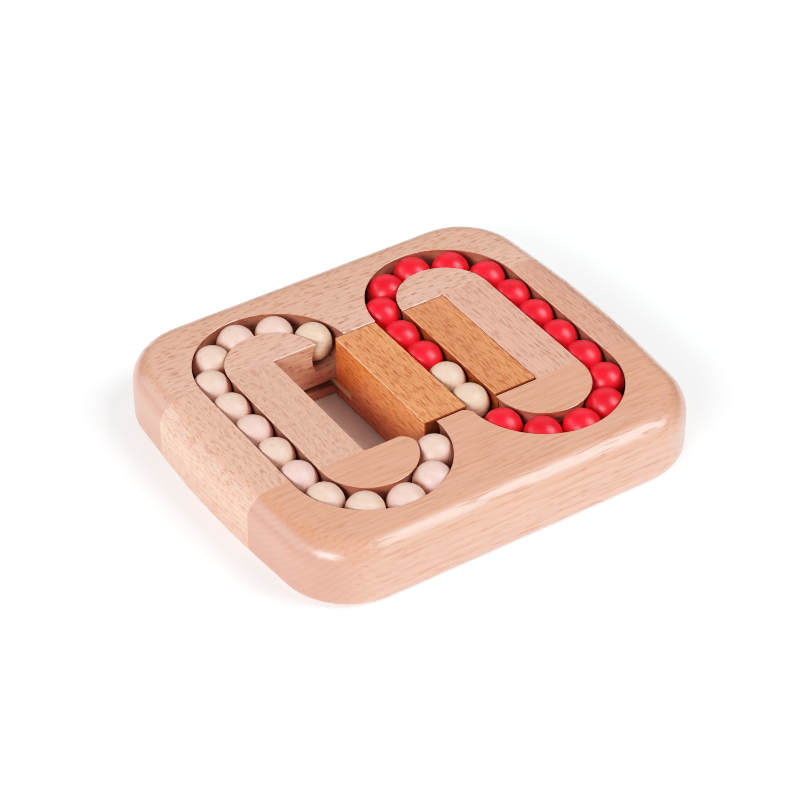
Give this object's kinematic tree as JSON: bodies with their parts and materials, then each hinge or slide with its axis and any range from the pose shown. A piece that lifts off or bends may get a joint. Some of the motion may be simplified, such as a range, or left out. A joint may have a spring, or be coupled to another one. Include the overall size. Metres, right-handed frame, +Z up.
{
  "type": "wooden bead puzzle",
  "caption": "Flat rounded wooden frame with looped bead tracks that share a sliding block, which carries a short row of beads from one loop to the other.",
  "frame": {"origin": "middle of the frame's underside, on the table", "axes": "+X right, along the slider's travel and the frame's longer side; +Y to the back; +Z up"},
  "size_m": [0.164, 0.143, 0.0264],
  "materials": {
    "beech_frame": "lacquered, satin gloss",
    "slider_wood": "oiled, satin",
    "spline_wood": "raw sawn",
    "plain_bead": "turned and tumbled, matt",
    "red_bead": "dipped in red lacquer, satin gloss"
  },
  "bodies": {
    "frame": {"back_board": "beech_frame", "front_board": "beech_frame", "left_board": "beech_frame", "right_board": "beech_frame", "back_left_spline": "spline_wood", "back_right_spline": "spline_wood", "front_left_spline": "spline_wood", "front_right_spline": "spline_wood"},
    "slider": {"slider": "slider_wood", "rear_tongue": "spline_wood", "front_tongue": "spline_wood"},
    "left_bead_06": {"left_bead_06": "plain_bead"},
    "left_bead_01": {"left_bead_01": "plain_bead"},
    "left_bead_02": {"left_bead_02": "plain_bead"},
    "left_bead_03": {"left_bead_03": "plain_bead"},
    "left_bead_04": {"left_bead_04": "plain_bead"},
    "left_bead_05": {"left_bead_05": "plain_bead"},
    "left_bead_07": {"left_bead_07": "plain_bead"},
    "left_bead_08": {"left_bead_08": "plain_bead"},
    "left_bead_09": {"left_bead_09": "plain_bead"},
    "left_bead_10": {"left_bead_10": "plain_bead"},
    "left_bead_11": {"left_bead_11": "plain_bead"},
    "left_bead_12": {"left_bead_12": "plain_bead"},
    "left_bead_13": {"left_bead_13": "plain_bead"},
    "left_bead_14": {"left_bead_14": "plain_bead"},
    "right_bead_06": {"right_bead_06": "red_bead"},
    "right_bead_01": {"right_bead_01": "red_bead"},
    "right_bead_02": {"right_bead_02": "red_bead"},
    "right_bead_03": {"right_bead_03": "red_bead"},
    "right_bead_04": {"right_bead_04": "red_bead"},
    "right_bead_05": {"right_bead_05": "red_bead"},
    "right_bead_07": {"right_bead_07": "red_bead"},
    "right_bead_08": {"right_bead_08": "red_bead"},
    "right_bead_09": {"right_bead_09": "red_bead"},
    "right_bead_10": {"right_bead_10": "red_bead"},
    "right_bead_11": {"right_bead_11": "red_bead"},
    "right_bead_12": {"right_bead_12": "red_bead"},
    "right_bead_13": {"right_bead_13": "red_bead"},
    "right_bead_14": {"right_bead_14": "red_bead"},
    "channel_bead_1": {"channel_bead_1": "red_bead"},
    "channel_bead_2": {"channel_bead_2": "red_bead"},
    "channel_bead_3": {"channel_bead_3": "plain_bead"},
    "channel_bead_4": {"channel_bead_4": "plain_bead"}
  },
  "joints": [
    {"name": "slider_slide", "type": "slide", "parent": "frame", "child": "slider", "axis": [1, 0, 0], "range_m": [-0.0244, 0]},
    {"name": "left_bead_06_travel", "type": "slide", "parent": "frame", "child": "left_bead_06", "axis": [0, 1, 0], "range_m": [-0.0022, 0.0014]},
    {"name": "left_bead_01_travel", "type": "hinge", "parent": "frame", "child": "left_bead_01", "pos_m": [-0.0355, 0.0291, 0.0194], "axis": [0, 0, -1], "range_deg": [-5.41, 3.44]},
    {"name": "left_bead_02_travel", "type": "hinge", "parent": "frame", "child": "left_bead_02", "pos_m": [-0.0355, 0.0291, 0.0194], "axis": [0, 0, -1], "range_deg": [-5.41, 3.44]},
    {"name": "left_bead_03_travel", "type": "hinge", "parent": "frame", "child": "left_bead_03", "pos_m": [-0.0355, 0.0291, 0.0194], "axis": [0, 0, -1], "range_deg": [-5.41, 3.44]},
    {"name": "left_bead_04_travel", "type": "hinge", "parent": "frame", "child": "left_bead_04", "pos_m": [-0.0355, 0.0291, 0.0194], "axis": [0, 0, -1], "range_deg": [-5.41, 3.44]},
    {"name": "left_bead_05_travel", "type": "hinge", "parent": "frame", "child": "left_bead_05", "pos_m": [-0.0355, 0.0291, 0.0194], "axis": [0, 0, -1], "range_deg": [-5.41, 3.44]},
    {"name": "left_bead_07_travel", "type": "slide", "parent": "frame", "child": "left_bead_07", "axis": [0, 1, 0], "range_m": [-0.0022, 0.0014]},
    {"name": "left_bead_08_travel", "type": "slide", "parent": "frame", "child": "left_bead_08", "axis": [0, 1, 0], "range_m": [-0.0022, 0.0014]},
    {"name": "left_bead_09_travel", "type": "slide", "parent": "frame", "child": "left_bead_09", "axis": [0, 1, 0], "range_m": [-0.0022, 0.0014]},
    {"name": "left_bead_10_travel", "type": "hinge", "parent": "frame", "child": "left_bead_10", "pos_m": [-0.0355, -0.0291, 0.0194], "axis": [0, 0, -1], "range_deg": [-5.41, 3.44]},
    {"name": "left_bead_11_travel", "type": "hinge", "parent": "frame", "child": "left_bead_11", "pos_m": [-0.0355, -0.0291, 0.0194], "axis": [0, 0, -1], "range_deg": [-5.41, 3.44]},
    {"name": "left_bead_12_travel", "type": "hinge", "parent": "frame", "child": "left_bead_12", "pos_m": [-0.0355, -0.0291, 0.0194], "axis": [0, 0, -1], "range_deg": [-5.41, 3.44]},
    {"name": "left_bead_13_travel", "type": "hinge", "parent": "frame", "child": "left_bead_13", "pos_m": [-0.0355, -0.0291, 0.0194], "axis": [0, 0, -1], "range_deg": [-5.41, 3.44]},
    {"name": "left_bead_14_travel", "type": "hinge", "parent": "frame", "child": "left_bead_14", "pos_m": [-0.0355, -0.0291, 0.0194], "axis": [0, 0, -1], "range_deg": [-5.41, 3.44]},
    {"name": "right_bead_06_travel", "type": "slide", "parent": "frame", "child": "right_bead_06", "axis": [0, 1, 0], "range_m": [-0.0034, 0.0003]},
    {"name": "right_bead_01_travel", "type": "hinge", "parent": "frame", "child": "right_bead_01", "pos_m": [0.0355, 0.0291, 0.0194], "axis": [0, 0, 1], "range_deg": [-8.36, 0.74]},
    {"name": "right_bead_02_travel", "type": "hinge", "parent": "frame", "child": "right_bead_02", "pos_m": [0.0355, 0.0291, 0.0194], "axis": [0, 0, 1], "range_deg": [-8.36, 0.74]},
    {"name": "right_bead_03_travel", "type": "hinge", "parent": "frame", "child": "right_bead_03", "pos_m": [0.0355, 0.0291, 0.0194], "axis": [0, 0, 1], "range_deg": [-8.36, 0.74]},
    {"name": "right_bead_04_travel", "type": "hinge", "parent": "frame", "child": "right_bead_04", "pos_m": [0.0355, 0.0291, 0.0194], "axis": [0, 0, 1], "range_deg": [-8.36, 0.74]},
    {"name": "right_bead_05_travel", "type": "hinge", "parent": "frame", "child": "right_bead_05", "pos_m": [0.0355, 0.0291, 0.0194], "axis": [0, 0, 1], "range_deg": [-8.36, 0.74]},
    {"name": "right_bead_07_travel", "type": "slide", "parent": "frame", "child": "right_bead_07", "axis": [0, 1, 0], "range_m": [-0.0034, 0.0003]},
    {"name": "right_bead_08_travel", "type": "slide", "parent": "frame", "child": "right_bead_08", "axis": [0, 1, 0], "range_m": [-0.0034, 0.0003]},
    {"name": "right_bead_09_travel", "type": "slide", "parent": "frame", "child": "right_bead_09", "axis": [0, 1, 0], "range_m": [-0.0034, 0.0003]},
    {"name": "right_bead_10_travel", "type": "hinge", "parent": "frame", "child": "right_bead_10", "pos_m": [0.0355, -0.0291, 0.0194], "axis": [0, 0, 1], "range_deg": [-8.36, 0.74]},
    {"name": "right_bead_11_travel", "type": "hinge", "parent": "frame", "child": "right_bead_11", "pos_m": [0.0355, -0.0291, 0.0194], "axis": [0, 0, 1], "range_deg": [-8.36, 0.74]},
    {"name": "right_bead_12_travel", "type": "hinge", "parent": "frame", "child": "right_bead_12", "pos_m": [0.0355, -0.0291, 0.0194], "axis": [0, 0, 1], "range_deg": [-8.36, 0.74]},
    {"name": "right_bead_13_travel", "type": "hinge", "parent": "frame", "child": "right_bead_13", "pos_m": [0.0355, -0.0291, 0.0194], "axis": [0, 0, 1], "range_deg": [-8.36, 0.74]},
    {"name": "right_bead_14_travel", "type": "hinge", "parent": "frame", "child": "right_bead_14", "pos_m": [0.0355, -0.0291, 0.0194], "axis": [0, 0, 1], "range_deg": [-8.36, 0.74]},
    {"name": "channel_bead_1_travel", "type": "slide", "parent": "slider", "child": "channel_bead_1", "axis": [0, 1, 0], "range_m": [-0.0001, 0.0009]},
    {"name": "channel_bead_2_travel", "type": "slide", "parent": "slider", "child": "channel_bead_2", "axis": [0, 1, 0], "range_m": [-0.0001, 0.0009]},
    {"name": "channel_bead_3_travel", "type": "slide", "parent": "slider", "child": "channel_bead_3", "axis": [0, 1, 0], "range_m": [-0.0001, 0.0009]},
    {"name": "channel_bead_4_travel", "type": "slide", "parent": "slider", "child": "channel_bead_4", "axis": [0, 1, 0], "range_m": [-0.0001, 0.0009]}
  ],
  "couplings": [
    {"joint": "left_bead_01_travel", "follows": "left_bead_06_travel", "rad_per_m": 42.919},
    {"joint": "left_bead_02_travel", "follows": "left_bead_06_travel", "rad_per_m": 42.919},
    {"joint": "left_bead_03_travel", "follows": "left_bead_06_travel", "rad_per_m": 42.919},
    {"joint": "left_bead_04_travel", "follows": "left_bead_06_travel", "rad_per_m": 42.919},
    {"joint": "left_bead_05_travel", "follows": "left_bead_06_travel", "rad_per_m": 42.919},
    {"joint": "left_bead_07_travel", "follows": "left_bead_06_travel", "ratio": 1},
    {"joint": "left_bead_08_travel", "follows": "left_bead_06_travel", "ratio": 1},
    {"joint": "left_bead_09_travel", "follows": "left_bead_06_travel", "ratio": 1},
    {"joint": "left_bead_10_travel", "follows": "left_bead_06_travel", "rad_per_m": 42.919},
    {"joint": "left_bead_11_travel", "follows": "left_bead_06_travel", "rad_per_m": 42.919},
    {"joint": "left_bead_12_travel", "follows": "left_bead_06_travel", "rad_per_m": 42.919},
    {"joint": "left_bead_13_travel", "follows": "left_bead_06_travel", "rad_per_m": 42.919},
    {"joint": "left_bead_14_travel", "follows": "left_bead_06_travel", "rad_per_m": 42.919},
    {"joint": "right_bead_01_travel", "follows": "right_bead_06_travel", "rad_per_m": 42.919},
    {"joint": "right_bead_02_travel", "follows": "right_bead_06_travel", "rad_per_m": 42.919},
    {"joint": "right_bead_03_travel", "follows": "right_bead_06_travel", "rad_per_m": 42.919},
    {"joint": "right_bead_04_travel", "follows": "right_bead_06_travel", "rad_per_m": 42.919},
    {"joint": "right_bead_05_travel", "follows": "right_bead_06_travel", "rad_per_m": 42.919},
    {"joint": "right_bead_07_travel", "follows": "right_bead_06_travel", "ratio": 1},
    {"joint": "right_bead_08_travel", "follows": "right_bead_06_travel", "ratio": 1},
    {"joint": "right_bead_09_travel", "follows": "right_bead_06_travel", "ratio": 1},
    {"joint": "right_bead_10_travel", "follows": "right_bead_06_travel", "rad_per_m": 42.919},
    {"joint": "right_bead_11_travel", "follows": "right_bead_06_travel", "rad_per_m": 42.919},
    {"joint": "right_bead_12_travel", "follows": "right_bead_06_travel", "rad_per_m": 42.919},
    {"joint": "right_bead_13_travel", "follows": "right_bead_06_travel", "rad_per_m": 42.919},
    {"joint": "right_bead_14_travel", "follows": "right_bead_06_travel", "rad_per_m": 42.919},
    {"joint": "channel_bead_2_travel", "follows": "channel_bead_1_travel", "ratio": 1},
    {"joint": "channel_bead_3_travel", "follows": "channel_bead_1_travel", "ratio": 1},
    {"joint": "channel_bead_4_travel", "follows": "channel_bead_1_travel", "ratio": 1}
  ]
}
